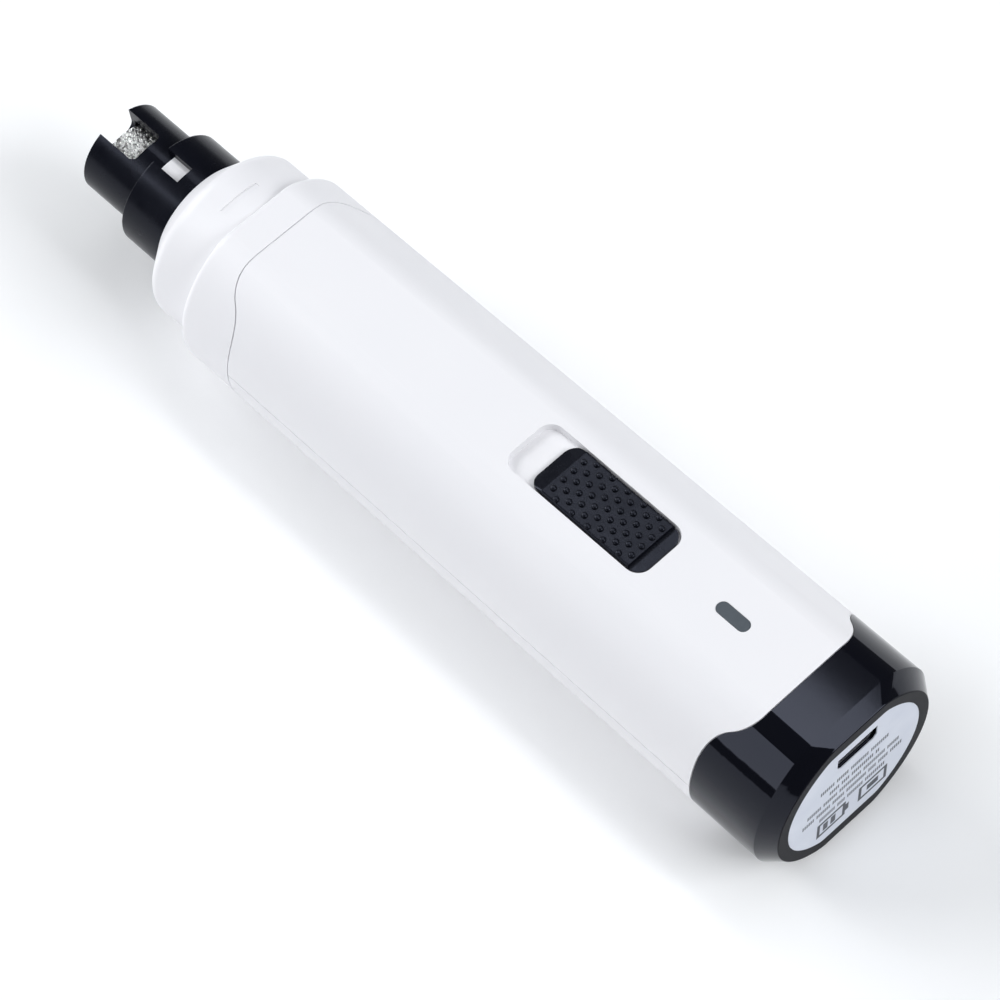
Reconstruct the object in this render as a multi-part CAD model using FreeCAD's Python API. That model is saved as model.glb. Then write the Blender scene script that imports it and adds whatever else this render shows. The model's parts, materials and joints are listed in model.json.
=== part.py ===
import FreeCAD, Part
import math
import os

# Pet nail grinder, lying on its underside.  Millimetres.
# +X runs from the grinding tip to the charging end, +Z up through the thumb switch.
# Everything is drawn about the spindle axis (y = 0, z = 0) and lifted onto the floor on export.

os.makedirs("parts", exist_ok=True)

# ---- grip body: a round bar with a flat above and a flat below -------------------------------
FLAT_HEIGHT = 15.7            # spindle axis to the upper and the lower flat
GRIP_FRONT_RADIUS = 17.1
GRIP_REAR_RADIUS = 18.0
CREASE_RADIUS = 6.0           # rounding between a flat and the round side
FLAT_TRIM = 0.003             # the bar is drawn this much tall, then cut level into true planes
GRIP_FRONT_X = -46.6
GRIP_REAR_X = 75.85
TAIL_X = 78.6
TAIL_FACE_RADIUS = 15.8
TAIL_FACE_FLAT = 14.9
TAIL_FACE_CREASE = 4.0
TAIL_EDGE_ROUNDING = 0.25
WALL = 2.0
LIP_GAP = 0.1
LIP_THICKNESS = 1.2
SHOULDER_ROUNDING = 1.3       # front edge of the grip
BUTT_GAP = 0.04               # between two shell edges that meet
GROOVE_DEPTH = 0.18           # shadow groove along each visible joint
NOSE_GROOVE = 0.2
TAIL_GROOVE = 0.16
SPLIT_GROOVE = 0.2

# seams between nose, shells and tail cap: (x over the flats, x at the sides)
NOSE_SEAM = (-40.2, -35.6)
TAIL_SEAM = (68.0, 62.95)
SEAM_FLAT_HALF = 8.0          # half width of the straight middle of a seam
SEAM_SIDE_HALF = 17.0         # where the curved part of a seam has run out
NOSE_LIP_END_X = -31.5
TAIL_LIP_START_X = 59.2

# ---- nose housing ----------------------------------------------------------------------------
COLLAR_FRONT_X = -55.1
COLLAR_RADIUS = 15.08
COLLAR_ROUNDING = 2.4
CATCH_X = -50.1               # shallow slot, above and below, that a dust cover clicks into
CATCH_LENGTH = 7.3
CATCH_WIDTH = 0.9
CATCH_DEPTH = 0.14
CONE_FRONT_X = -58.9
CONE_FRONT_RADIUS = 10.3
SPIGOT_FRONT_X = -66.2
SPIGOT_RADIUS = 8.65
BULKHEAD_X = -43.6
LIP_OVERLAP = 3.0             # how far a lip or a seam end runs past where it is needed
BAY_RADIUS = 10.5             # hollow round the coupling
BAY_FRONT_X = -53.0
COUPLING_ROOM = 0.6

# ---- guard -----------------------------------------------------------------------------------
GUARD_TIP_X = -78.6
GUARD_END_WALL = 0.85         # front wall of the tip, notched like the tube behind it
GUARD_STEP_X = -67.4
GUARD_REAR_X = -59.05
GUARD_TIP_RADIUS = 8.04
GUARD_RING_RADIUS = 10.14
GUARD_TIP_BORE = 5.9
GUARD_FIT_GAP = 0.07
GUARD_TURN_DEG = 6.0          # the guard sits turned a little towards -Y
NOTCH_HALF_WIDTH = 3.0
NOTCH_REAR_X = -70.9
NOTCH_CORNER = 1.1
NOTCH_FLOOR_Z = 1.0           # in the tube; the front wall keeps more height
WALL_NOTCH_FLOOR_Z = 2.4
WALL_NOTCH_CORNER = 1.9
WINDOW_HALF_WIDTH = 1.6
WINDOW_REAR_X = -61.8
GUARD_RIM_ROUNDING = 0.25

# ---- spindle line ----------------------------------------------------------------------------
DRUM_FRONT_X = -77.4
DRUM_REAR_X = -67.8
DRUM_RADIUS = 5.0
GRIT_THICKNESS = 0.5
SLEEVE_ROUNDING = 0.35
HUB_RADIUS = 2.6
HUB_REAR_X = -67.0
DIMPLE_RADIUS = 2.2           # shallow dimple in the front face of the drum
DIMPLE_DEPTH = 0.7
ARBOR_RADIUS = 1.5
ARBOR_FRONT_X = -76.5
ARBOR_REAR_X = -50.2
BUSH_RADIUS = 4.0
BUSH_FRONT_X = -65.0
BUSH_REAR_X = -59.3
SEAL_RADIUS = 4.95
SEAL_FRONT_X = -66.1
SEAL_REAR_X = -65.25
SEAL_LIP_GAP = 0.35
COUPLING_RADIUS = 3.0
COUPLING_FRONT_X = -57.5
COUPLING_REAR_X = -46.6
SHAFT_RADIUS = 1.0
RUNNING_GAP = 0.05
SEAT_GAP = 0.02
LENGTH_GAP = 0.2              # end play beside a part pushed into a bore

# ---- motor -----------------------------------------------------------------------------------
MOTOR_RADIUS = 12.0
MOTOR_FRONT_X = -41.5
MOTOR_CAN_REAR_X = -14.0
MOTOR_REAR_X = -10.4
CAN_THICKNESS = 0.8
MOTOR_SCREW_Y = 8.0
PLATE_RADIUS = 12.2
PLATE_BORE = 3.2
PLATE_HOLE_RADIUS = 1.35
SCREW_HEAD_RADIUS = 2.2
SCREW_HEAD_LENGTH = 1.5
SCREW_SHANK_RADIUS = 1.2
SCREW_SLOT = (3.2, 0.6)       # length and width
CAN_TAPPED_RADIUS = 1.25
BOSS_RADIUS = 3.0
BOSS_LENGTH = 1.5
FRONT_BUSH_RADIUS = 2.18
REAR_BUSH_RADIUS = 2.2
REAR_BUSH_LENGTH = 1.8
BELL_RIM = 2.5                # ring that the end bell's pocket leaves
BELL_POCKET_DEPTH = 1.6
TERMINAL_Y = 8.0
TERMINAL_HALF = (0.25, 1.2)   # half thickness and half width of a terminal blade
TERMINAL_FRONT_X = -12.2
TERMINAL_REACH = 3.0
MAGNET_FRONT_X = -38.0
MAGNET_REAR_X = -18.0
MAGNET_BORE = 9.4
MAGNET_HALF_WIDTH = 7.5
CORE_FRONT_X = -36.0
CORE_REAR_X = -22.0
CORE_STEM_RADIUS = 2.6
CORE_RADIUS = 8.8
SHOE_BORE = 7.4               # inner radius of a pole shoe
SHOE_HALF_WIDTH = 5.6
WEB_HALF_WIDTH = 1.1
COIL_HALF_WIDTH = 2.7
COIL_OVERHANG = 1.4
COIL_INNER_Z = 3.7
COIL_OUTER_Z = 6.8
POLES = 3
COMMUTATOR_RADIUS = 2.4
COMMUTATOR_FRONT_X = -19.4
COMMUTATOR_REAR_X = -14.6
BRUSH_Y = 2.46                # inner face of a brush leaf
LEAF_THICKNESS = 0.44
LEAF_FRONT_X = -17.0
LEAF_REAR_X = -12.6
LEAF_FOOT_X = (-12.9, -12.5)
LEAF_FOOT_Y = 7.6
LEAF_HALF_WIDTH = 1.0
DAMPER_RADIUS = 13.55
DAMPER_FRONT_X = -27.0
DAMPER_REAR_X = -22.0

# ---- battery, board and switch ---------------------------------------------------------------
CELL_RADIUS = 7.0
CELL_FRONT_X = -5.0
CELL_LENGTH = 50.0
CELL_Z = -5.8
CELL_CAN_GAP = 0.15           # sleeve and its fit, outside the can
CELL_CAN_WALL = 0.25
CELL_NIPPLE_LENGTH = 0.88
CELL_NIPPLE_RADIUS = 2.6
CELL_SLEEVE_WALL = 0.13
TAB_HALF_WIDTH = 2.0
TAB_THICKNESS = 0.18
TAB_RISE = 8.6
SADDLE_STARTS = (3.0, 23.5, 44.0)     # from the front of the cell
SADDLE_LENGTH = 2.5
SADDLE_HALF_WIDTH = 12.0
SADDLE_Z = (-13.6, -5.0)
RAIL_Y = (7.6, 9.6)
RAIL_Z = (-9.0, -6.5)
PAD_STARTS = (9.0, 30.0)
PAD_LENGTH = 10.0
PAD_HALF_WIDTH = 4.5
PAD_Z = (-13.65, -10.0)
LEAD_RADIUS = 0.7
LEAD_SIDE_Y = 9.5                     # the motor leads pass beside the cell
BOARD_TOP_Z = 7.4
BOARD_THICKNESS = 1.6
BOARD_FRONT_X = 6.0
BOARD_REAR_X = 76.2
BOARD_HALF_WIDTH = 11.0
POST_XS = (12.0, 48.0)
POST_Y = 7.0
POST_RADIUS = 2.2
POST_BORE = 0.95
POST_BORE_DEPTH = 4.6
BOARD_CORNER = 1.5
BOARD_HOLE_RADIUS = 1.15
BOARD_SCREW_HEAD = (1.9, 1.3)         # radius and height
BOARD_SCREW_RADIUS = 0.9
BOARD_SCREW_REACH = 4.2
BOARD_SCREW_SLOT = (2.8, 0.5)
CHIPS = (                             # x0, x1, y0, y1, height
    (41.0, 45.0, -2.5, 2.5, 1.5),
    (62.0, 65.0, -5.5, -2.5, 1.1),
    (62.0, 65.0, 2.5, 5.5, 1.1))
SMALL_PART_XS = (16.0, 36.5, 52.0, 58.0, 68.0)
SMALL_PART_YS = (-9.6, 8.8)
SMALL_PART_SIZE = (1.6, 0.8, 0.5)
RECESS_FRONT_X = 11.8         # foot of the pocket's front wall
RECESS_REAR_X = 39.7
RECESS_HALF_WIDTH = 5.0
RECESS_CORNER = 2.3
RECESS_FLOOR_Z = 14.5
RECESS_SLOPE = 0.2            # how far the pocket widens up to the flat
KNOB_FRONT_X = 16.8
KNOB_REAR_X = 39.4
KNOB_HALF_WIDTH = 4.85
KNOB_CORNER = 2.2
KNOB_EDGE_ROUNDING = 0.35
KNOB_TOP_Z = 15.95
KNOB_DISH = 0.2               # how far the thumb field sinks in its middle
KNOB_FIELD_FRONT_X = 19.5
KNOB_FIELD_REAR_X = 37.2
KNOB_LIP_FRONT_X = 37.8
KNOB_GROOVE_FLOOR = 0.37             # above the underside of the knob
KNOB_LIP_HEIGHTS = (0.75, 0.55)
STUD_FIRST_X = 20.45
STUD_PITCH_X = 1.594
STUD_PITCH_Y = 2.1
STUD_COLUMNS = 11
STUD_RADIUS = 0.5
STUD_HEIGHT = 0.42
STUD_ROUNDING = 0.32
STUDS_IN_COLUMN = (4, 5)
SWITCH_TRAVEL = 4.5
ACTUATOR_X = 29.0
SWITCH_BODY_TOP_Z = 12.2
SWITCH_BODY_X = (-10.5, 5.5)          # from the actuator's rest place
SWITCH_BODY_HALF_WIDTH = 3.2
SWITCH_WELL_X = (-9.3, 4.3)
SWITCH_WELL_HALF_WIDTH = 1.6
SHOE_HALF_LENGTH = 3.6
STEM_HALF_LENGTH = 1.4
STEM_HALF_WIDTH = 1.2
STEM_TOP_Z = 14.2
FORK_X = (1.5, 2.9)                   # inner and outer face of a fork leg
FORK_HALF_WIDTH = 2.2
FORK_FOOT_HALF_WIDTH = 3.1
FORK_Z = (12.6, 13.4)                 # underside of the fork, top of its feet
FORK_SLOT_X = (3.5, 3.6)              # room ahead of and behind the fork's travel
FORK_SLOT_HALF_WIDTH = 2.6
KNOB_LIFT = 0.15                      # under the knob
LENS_X = 53.7
LENS_LENGTH = 6.05
LENS_WIDTH = 2.25
SOCKET_Z = 8.7
SOCKET_WIDTH = 7.5
SOCKET_HEIGHT = 2.55
SOCKET_CORNER = 0.75
SOCKET_FRONT_X = 71.6
SOCKET_WALL = 0.3
SOCKET_SETBACK = 0.6
TONGUE_FRONT_X = 72.05
TONGUE_SETBACK = 1.6
TONGUE_HALF_WIDTH = 1.9
TONGUE_Z = (-0.1, 0.55)               # from the middle of the socket
CONTACT_PITCH = 0.65
CONTACT_HALF_WIDTH = 0.18
CONTACT_FRONT_X = 73.0
LENS_GAP = 0.05
LENS_FLANGE = 0.8
LENS_FLANGE_Z = (12.9, 13.6)
LAMP_SIZE = (1.6, 1.4, 1.9)           # half length, half width, height
GUIDE_RADIUS = 1.1
GUIDE_GAP = 2.2                       # board to the light guide's foot
LABEL_RADIUS = 13.7
LABEL_FLAT = 12.4
LABEL_CREASE = 3.0
LABEL_THICKNESS = 0.17
LABEL_SEAT_DEPTH = 0.2
LABEL_GLUE = 0.01
TONGUE_RISE = 2.2                     # the lower shell's tongue behind the upper shell
TONGUE_ROOT = -3.0
TONGUE_THICKNESS = 1.0
CLEAR = 1.0                           # how far a cutting shape runs past what it cuts
BEYOND = 30.0                         # farther out than any surface of the body


# ---- small building helpers ------------------------------------------------------------------
def vec(x, y, z):
    return FreeCAD.Vector(x, y, z)


def rod(radius, x0, x1, y=0.0, z=0.0):
    """Cylinder along X."""
    return Part.makeCylinder(radius, x1 - x0, vec(x0, y, z), vec(1, 0, 0))


def tube(outer, inner, x0, x1, y=0.0, z=0.0):
    return rod(outer, x0, x1, y, z).cut(rod(inner, x0 - 1, x1 + 1, y, z))


def post(radius, z0, z1, x, y):
    """Cylinder along Z."""
    return Part.makeCylinder(radius, z1 - z0, vec(x, y, z0), vec(0, 0, 1))


def box(x0, x1, y0, y1, z0, z1):
    return Part.makeBox(x1 - x0, y1 - y0, z1 - z0, vec(x0, y0, z0))


def cone(r0, r1, x0, x1):
    return Part.makeCone(r0, r1, x1 - x0, vec(x0, 0, 0), vec(1, 0, 0))


def fuse_all(shapes):
    return shapes[0].multiFuse(list(shapes[1:])).removeSplitter()


def turned(shape, degrees):
    """Copy turned about the spindle axis; positive tips the top towards -Y."""
    copy = shape.copy()
    copy.rotate(vec(0, 0, 0), vec(1, 0, 0), degrees)
    return copy


def moved(shape, dx, dy, dz):
    copy = shape.copy()
    copy.translate(vec(dx, dy, dz))
    return copy


def lead(points, radius):
    """Insulated wire through the points, round at its bends."""
    pieces = []
    for start, end in zip(points, points[1:]):
        run = end - start
        pieces.append(Part.makeCylinder(radius, run.Length, start, run))
    for bend in points[1:-1]:
        pieces.append(Part.makeSphere(radius, bend))
    return fuse_all(pieces)


def rounded_outline(x0, x1, half_width, radius, z):
    """Rectangle with round corners, lying level at height z."""
    y = half_width
    k = radius * (1.0 - math.sqrt(0.5))
    corners = [
        (vec(x1 - radius, -y, z), vec(x1 - k, -y + k, z), vec(x1, -y + radius, z)),
        (vec(x1, y - radius, z), vec(x1 - k, y - k, z), vec(x1 - radius, y, z)),
        (vec(x0 + radius, y, z), vec(x0 + k, y - k, z), vec(x0, y - radius, z)),
        (vec(x0, -y + radius, z), vec(x0 + k, -y + k, z), vec(x0 + radius, -y, z)),
    ]
    edges = []
    for index, corner in enumerate(corners):
        edges.append(Part.Arc(*corner).toShape())
        edges.append(Part.LineSegment(corner[2], corners[(index + 1) % 4][0]).toShape())
    return Part.Wire(Part.__sortEdges__(edges))


def rounded_block(x0, x1, half_width, radius, z0, z1):
    face = Part.Face(rounded_outline(x0, x1, half_width, radius, z0))
    return face.extrude(vec(0, 0, z1 - z0))


# ---- the flattened round section -------------------------------------------------------------
def flattened_section(x, radius, flat, crease):
    """Circle cut by an upper and a lower flat, each crease rounded."""
    side = radius - crease
    yc = math.sqrt(side ** 2 - (flat - crease) ** 2)
    zc = flat - crease
    angle = math.atan2(yc, zc)

    def on_crease(sy, sz, part):
        a = angle * part
        return vec(x, sy * (yc + crease * math.sin(a)), sz * (zc + crease * math.cos(a)))

    edges = []
    for sy, sz in ((1, 1), (1, -1), (-1, -1), (-1, 1)):
        crease_points = [on_crease(sy, sz, part) for part in (0.0, 0.5, 1.0)]
        edges.append(Part.Arc(*crease_points).toShape())
    for sy in (1, -1):
        side_points = [on_crease(sy, 1, 1.0), vec(x, sy * radius, 0), on_crease(sy, -1, 1.0)]
        edges.append(Part.Arc(*side_points).toShape())
    for sz in (1, -1):
        edges.append(Part.LineSegment(on_crease(-1, sz, 0.0), on_crease(1, sz, 0.0)).toShape())
    return Part.Wire(Part.__sortEdges__(edges))


def grip_radius(x):
    share = (x - GRIP_FRONT_X) / (GRIP_REAR_X - GRIP_FRONT_X)
    return GRIP_FRONT_RADIUS + share * (GRIP_REAR_RADIUS - GRIP_FRONT_RADIUS)


def grip_section(x, inset):
    flat = FLAT_HEIGHT + FLAT_TRIM
    return flattened_section(x, grip_radius(x) - inset, flat - inset, CREASE_RADIUS - inset)


def levelled(bar, inset):
    """The bar with its two flats cut to true planes."""
    half = FLAT_HEIGHT - inset
    return bar.common(box(GRIP_FRONT_X - BEYOND, TAIL_X + BEYOND, -BEYOND, BEYOND, -half, half))


def grip_bar(inset, x0, x1):
    """Length of the tapering grip, drawn inwards by inset."""
    bar = Part.makeLoft([grip_section(x0, inset), grip_section(x1, inset)], True, True)
    return levelled(bar, inset)


# ---- seams: straight over the flats, sweeping in an S to the sides ---------------------------
def seam_block(seam, towards, shift):
    """All space on one side of a seam; towards is -1 for the nose side, +1 for the tail side."""
    x_mid = seam[0] + shift
    x_side = seam[1] + shift
    step = x_side - x_mid
    run = SEAM_SIDE_HALF - SEAM_FLAT_HALF
    turn = 2.0 * math.atan2(abs(step), run)
    radius = run / (2.0 * math.sin(turn))
    way = math.copysign(1.0, step)
    reach = BEYOND
    far = x_mid + towards * 5.0 * BEYOND

    def inner(part):
        a = turn * part
        return (x_mid + way * radius * (1.0 - math.cos(a)), SEAM_FLAT_HALF + radius * math.sin(a))

    def outer(part):
        a = turn * part
        return (x_side - way * radius * (1.0 - math.cos(a)), SEAM_SIDE_HALF - radius * math.sin(a))

    def at(point, sy):
        return vec(point[0], sy * point[1], -reach)

    edges = []
    for sy in (1, -1):
        edges.append(Part.Arc(at(inner(0.0), sy), at(inner(0.5), sy), at(inner(1.0), sy)).toShape())
        edges.append(Part.Arc(at(inner(1.0), sy), at(outer(0.5), sy), at(outer(0.0), sy)).toShape())
        edges.append(Part.LineSegment(at(outer(0.0), sy), at((x_side, reach), sy)).toShape())
        edges.append(Part.LineSegment(at((x_side, reach), sy), at((far, reach), sy)).toShape())
    edges.append(Part.LineSegment(at(inner(0.0), -1), at(inner(0.0), 1)).toShape())
    edges.append(Part.LineSegment(at((far, reach), -1), at((far, reach), 1)).toShape())
    outline = Part.Wire(Part.__sortEdges__(edges))
    return Part.Face(outline).extrude(vec(0, 0, 2 * reach))


# ---- housing ---------------------------------------------------------------------------------
def joint_groove(seam, width):
    """Shallow groove that shows where the pieces on the two sides of a seam meet."""
    band = seam_block(seam, 1, -width / 2).common(seam_block(seam, -1, width / 2))
    core = grip_bar(GROOVE_DEPTH, min(seam) - LIP_OVERLAP, max(seam) + LIP_OVERLAP)
    return band.cut(core)


def nose_front():
    """Front cone and round collar that a dust cover pushes onto."""
    front = cone(CONE_FRONT_RADIUS, COLLAR_RADIUS, CONE_FRONT_X, COLLAR_FRONT_X)
    body = fuse_all([front, rod(COLLAR_RADIUS, COLLAR_FRONT_X, GRIP_FRONT_X + WALL)])
    rim = [edge for edge in body.Edges
           if abs(edge.BoundBox.XMin - COLLAR_FRONT_X) < 0.01 and edge.BoundBox.XLength < 0.01]
    body = body.makeFillet(COLLAR_ROUNDING, rim)
    catches = box(CATCH_X - CATCH_WIDTH / 2, CATCH_X + CATCH_WIDTH / 2,
                  -CATCH_LENGTH / 2, CATCH_LENGTH / 2, -BEYOND, BEYOND)
    return body.cut(catches.cut(rod(COLLAR_RADIUS - CATCH_DEPTH, CATCH_X - CLEAR, CATCH_X + CLEAR)))


def nose_housing():
    ends = [grip_section(GRIP_FRONT_X, 0.0), grip_section(max(NOSE_SEAM) + LIP_OVERLAP, 0.0)]
    bar = Part.makeLoft(ends, True, True)
    front_edges = [edge for edge in bar.Edges if edge.BoundBox.XMax < GRIP_FRONT_X + 0.01]
    shoulder = levelled(bar.makeFillet(SHOULDER_ROUNDING, front_edges), 0.0)
    shoulder = shoulder.common(seam_block(NOSE_SEAM, -1, -BUTT_GAP / 2))
    spigot = rod(SPIGOT_RADIUS, SPIGOT_FRONT_X, CONE_FRONT_X + CLEAR)
    lip = grip_bar(WALL + LIP_GAP, GRIP_FRONT_X + LIP_OVERLAP, NOSE_LIP_END_X)
    body = fuse_all([nose_front(), spigot, shoulder, lip])
    body = body.cut(joint_groove(NOSE_SEAM, NOSE_GROOVE))
    motor_bay = grip_bar(WALL + LIP_GAP + LIP_THICKNESS, BULKHEAD_X, NOSE_LIP_END_X + CLEAR)
    coupling_bay = rod(BAY_RADIUS, BAY_FRONT_X, BULKHEAD_X + CLEAR)
    coupling_bore = rod(COUPLING_RADIUS + COUPLING_ROOM, BUSH_REAR_X + LENGTH_GAP, BAY_FRONT_X + CLEAR)
    bush_bore = rod(BUSH_RADIUS + SEAT_GAP, BUSH_FRONT_X - LENGTH_GAP, BUSH_REAR_X + CLEAR)
    seal_pocket = rod(SEAL_RADIUS + RUNNING_GAP, SPIGOT_FRONT_X - CLEAR, BUSH_FRONT_X - LENGTH_GAP / 2)
    for hollow in (motor_bay, coupling_bay, coupling_bore, bush_bore, seal_pocket):
        body = body.cut(hollow)
    return body


def shell_wall():
    """Both shells as one tube, trimmed to the two seams."""
    x0 = min(NOSE_SEAM) - CLEAR
    x1 = max(TAIL_SEAM) + CLEAR
    wall = grip_bar(0.0, x0, x1).cut(grip_bar(WALL, x0 - CLEAR, x1 + CLEAR))
    wall = wall.common(seam_block(NOSE_SEAM, 1, BUTT_GAP / 2))
    wall = wall.common(seam_block(TAIL_SEAM, -1, -BUTT_GAP / 2))
    wall = wall.cut(joint_groove(NOSE_SEAM, NOSE_GROOVE)).cut(joint_groove(TAIL_SEAM, TAIL_GROOVE))
    split = box(x0 - CLEAR, x1 + CLEAR, -BEYOND, BEYOND, -SPLIT_GROOVE / 2, SPLIT_GROOVE / 2)
    return wall.cut(split.cut(grip_bar(GROOVE_DEPTH, x0 - 2 * CLEAR, x1 + 2 * CLEAR)))


def switch_recess():
    """Sloping-sided pocket that the thumb knob runs in."""
    above = FLAT_HEIGHT + RECESS_SLOPE
    rim = RECESS_SLOPE * (above - RECESS_FLOOR_Z) / (FLAT_HEIGHT - RECESS_FLOOR_Z)
    floor = rounded_outline(RECESS_FRONT_X, RECESS_REAR_X, RECESS_HALF_WIDTH, RECESS_CORNER, RECESS_FLOOR_Z)
    top = rounded_outline(RECESS_FRONT_X - rim, RECESS_REAR_X + rim / 2,
                          RECESS_HALF_WIDTH + rim, RECESS_CORNER + rim, above)
    return Part.makeLoft([floor, top], True, True)


def upper_shell(wall):
    shell = wall.common(box(GRIP_FRONT_X, TAIL_X, -BEYOND, BEYOND, BUTT_GAP / 2, BEYOND))
    posts = []
    for x in POST_XS:
        for y in (-POST_Y, POST_Y):
            posts.append(post(POST_RADIUS, BOARD_TOP_Z + SEAT_GAP, FLAT_HEIGHT - WALL / 2, x, y))
    shell = fuse_all([shell] + posts)
    for x in POST_XS:
        for y in (-POST_Y, POST_Y):
            shell = shell.cut(post(POST_BORE, BOARD_TOP_Z - CLEAR, BOARD_TOP_Z + POST_BORE_DEPTH, x, y))
    shell = shell.cut(switch_recess())
    inside = FLAT_HEIGHT - WALL - CLEAR
    slot = rounded_block(ACTUATOR_X - SWITCH_TRAVEL - FORK_SLOT_X[0], ACTUATOR_X + FORK_SLOT_X[1],
                         FORK_SLOT_HALF_WIDTH, CLEAR, inside, RECESS_FLOOR_Z + RECESS_SLOPE)
    lens_hole = rounded_block(LENS_X - LENS_LENGTH / 2 - LENS_GAP, LENS_X + LENS_LENGTH / 2 + LENS_GAP,
                              LENS_WIDTH / 2 + LENS_GAP, LENS_WIDTH / 2, inside, FLAT_HEIGHT + CLEAR)
    return shell.cut(slot).cut(lens_hole)


def lower_shell(wall):
    shell = wall.common(box(GRIP_FRONT_X, TAIL_X, -BEYOND, BEYOND, -BEYOND, -BUTT_GAP / 2))
    x0 = NOSE_LIP_END_X + LENGTH_GAP
    x1 = TAIL_LIP_START_X - LENGTH_GAP
    core = grip_bar(WALL + LIP_GAP + TONGUE_THICKNESS, x0 - CLEAR, x1 + CLEAR)
    tongue = grip_bar(WALL + LIP_GAP, x0, x1).cut(core)
    tongue = tongue.common(box(x0, x1, -BEYOND, BEYOND, TONGUE_ROOT, TONGUE_RISE))
    root = grip_bar(WALL / 2, x0, x1).cut(core)
    root = root.common(box(x0, x1, -BEYOND, BEYOND, TONGUE_ROOT, TONGUE_ROOT + TONGUE_RISE))
    return fuse_all([shell, tongue, root])


def socket_cutter(grow, x0, x1):
    """Prism of the charging opening: a flat rectangle with its lower corners cut away."""
    half = SOCKET_WIDTH / 2 + grow
    top = SOCKET_Z + SOCKET_HEIGHT / 2 + grow
    low = SOCKET_Z - SOCKET_HEIGHT / 2 - grow
    corner = SOCKET_CORNER
    ring = [(-half, top), (half, top), (half, low + corner), (half - corner, low),
            (corner - half, low), (-half, low + corner), (-half, top)]
    outline = Part.makePolygon([vec(x0, y, z) for y, z in ring])
    return Part.Face(outline).extrude(vec(x1 - x0, 0, 0))


def tail_cap():
    outer = grip_bar(0.0, TAIL_LIP_START_X, GRIP_REAR_X).common(seam_block(TAIL_SEAM, 1, BUTT_GAP / 2))
    chamfer = Part.makeLoft([
        grip_section(GRIP_REAR_X, 0.0),
        flattened_section(TAIL_X, TAIL_FACE_RADIUS, TAIL_FACE_FLAT, TAIL_FACE_CREASE)], True, True)
    end_edges = [edge for edge in chamfer.Edges if edge.BoundBox.XMin > TAIL_X - 0.01]
    chamfer = levelled(chamfer.makeFillet(TAIL_EDGE_ROUNDING, end_edges), 0.0)
    lip = grip_bar(WALL + LIP_GAP, TAIL_LIP_START_X, GRIP_REAR_X - WALL)
    body = fuse_all([outer, chamfer, lip]).cut(joint_groove(TAIL_SEAM, TAIL_GROOVE))
    body = body.cut(grip_bar(WALL + LIP_GAP + LIP_THICKNESS, TAIL_LIP_START_X - CLEAR, TAIL_X - WALL))
    body = body.cut(socket_cutter(SOCKET_WALL, TAIL_X - 2 * WALL, TAIL_X + CLEAR))
    label_seat = Part.Face(flattened_section(
        TAIL_X - LABEL_SEAT_DEPTH, LABEL_RADIUS + RUNNING_GAP, LABEL_FLAT + RUNNING_GAP, LABEL_CREASE))
    return body.cut(label_seat.extrude(vec(CLEAR, 0, 0)))


def tail_label():
    back_x = TAIL_X - LABEL_SEAT_DEPTH + LABEL_GLUE
    face = Part.Face(flattened_section(back_x, LABEL_RADIUS, LABEL_FLAT, LABEL_CREASE))
    opening = socket_cutter(SOCKET_WALL + RUNNING_GAP, TAIL_X - WALL, TAIL_X + CLEAR)
    return face.extrude(vec(LABEL_THICKNESS, 0, 0)).cut(opening)


# ---- guard -----------------------------------------------------------------------------------
def guard_notch():
    """Side opening of the tip, running out through the front wall."""
    wall_rear_x = GUARD_TIP_X + GUARD_END_WALL
    above = GUARD_RING_RADIUS + CLEAR
    side = NOTCH_HALF_WIDTH
    tube_notch = rounded_block(GUARD_TIP_X - 2 * side, NOTCH_REAR_X, side, NOTCH_CORNER, NOTCH_FLOOR_Z, above)
    tube_notch = tube_notch.common(box(wall_rear_x, NOTCH_REAR_X, -2 * side, 2 * side, 0, above))
    wall_notch = box(GUARD_TIP_X - CLEAR, wall_rear_x, -side, side, WALL_NOTCH_FLOOR_Z, above)
    lower_edges = [edge for edge in wall_notch.Edges
                   if edge.BoundBox.ZMax < WALL_NOTCH_FLOOR_Z + 0.01 and edge.BoundBox.YLength < 0.01]
    return fuse_all([tube_notch, wall_notch.makeFillet(WALL_NOTCH_CORNER, lower_edges)])


def guard_cap():
    tip = rod(GUARD_TIP_RADIUS, GUARD_TIP_X, GUARD_STEP_X + CLEAR)
    ring = rod(GUARD_RING_RADIUS, GUARD_STEP_X, GUARD_REAR_X)
    cap = fuse_all([tip, ring])
    rims = []
    for edge in cap.Edges:
        level = edge.BoundBox.XMin
        flat_ring = edge.BoundBox.XLength < 0.001
        outer_step = abs(level - GUARD_STEP_X) < 0.01 and edge.BoundBox.YLength > 2 * GUARD_RING_RADIUS - 0.1
        if flat_ring and (abs(level - GUARD_TIP_X) < 0.01 or outer_step):
            rims.append(edge)
    cap = cap.makeFillet(GUARD_RIM_ROUNDING, rims)
    bore_front_x = SPIGOT_FRONT_X - LENGTH_GAP
    cap = cap.cut(rod(GUARD_TIP_BORE, GUARD_TIP_X + GUARD_END_WALL, bore_front_x + CLEAR))
    cap = cap.cut(rod(SPIGOT_RADIUS + GUARD_FIT_GAP, bore_front_x, GUARD_REAR_X + CLEAR))
    window = box(GUARD_STEP_X - CLEAR, WINDOW_REAR_X, -WINDOW_HALF_WIDTH, WINDOW_HALF_WIDTH,
                 GUARD_TIP_BORE, GUARD_RING_RADIUS + CLEAR)
    window = window.cut(rod(GUARD_TIP_RADIUS, GUARD_STEP_X - 2 * CLEAR, bore_front_x))
    return turned(cap.cut(guard_notch()).cut(window), GUARD_TURN_DEG)


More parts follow.
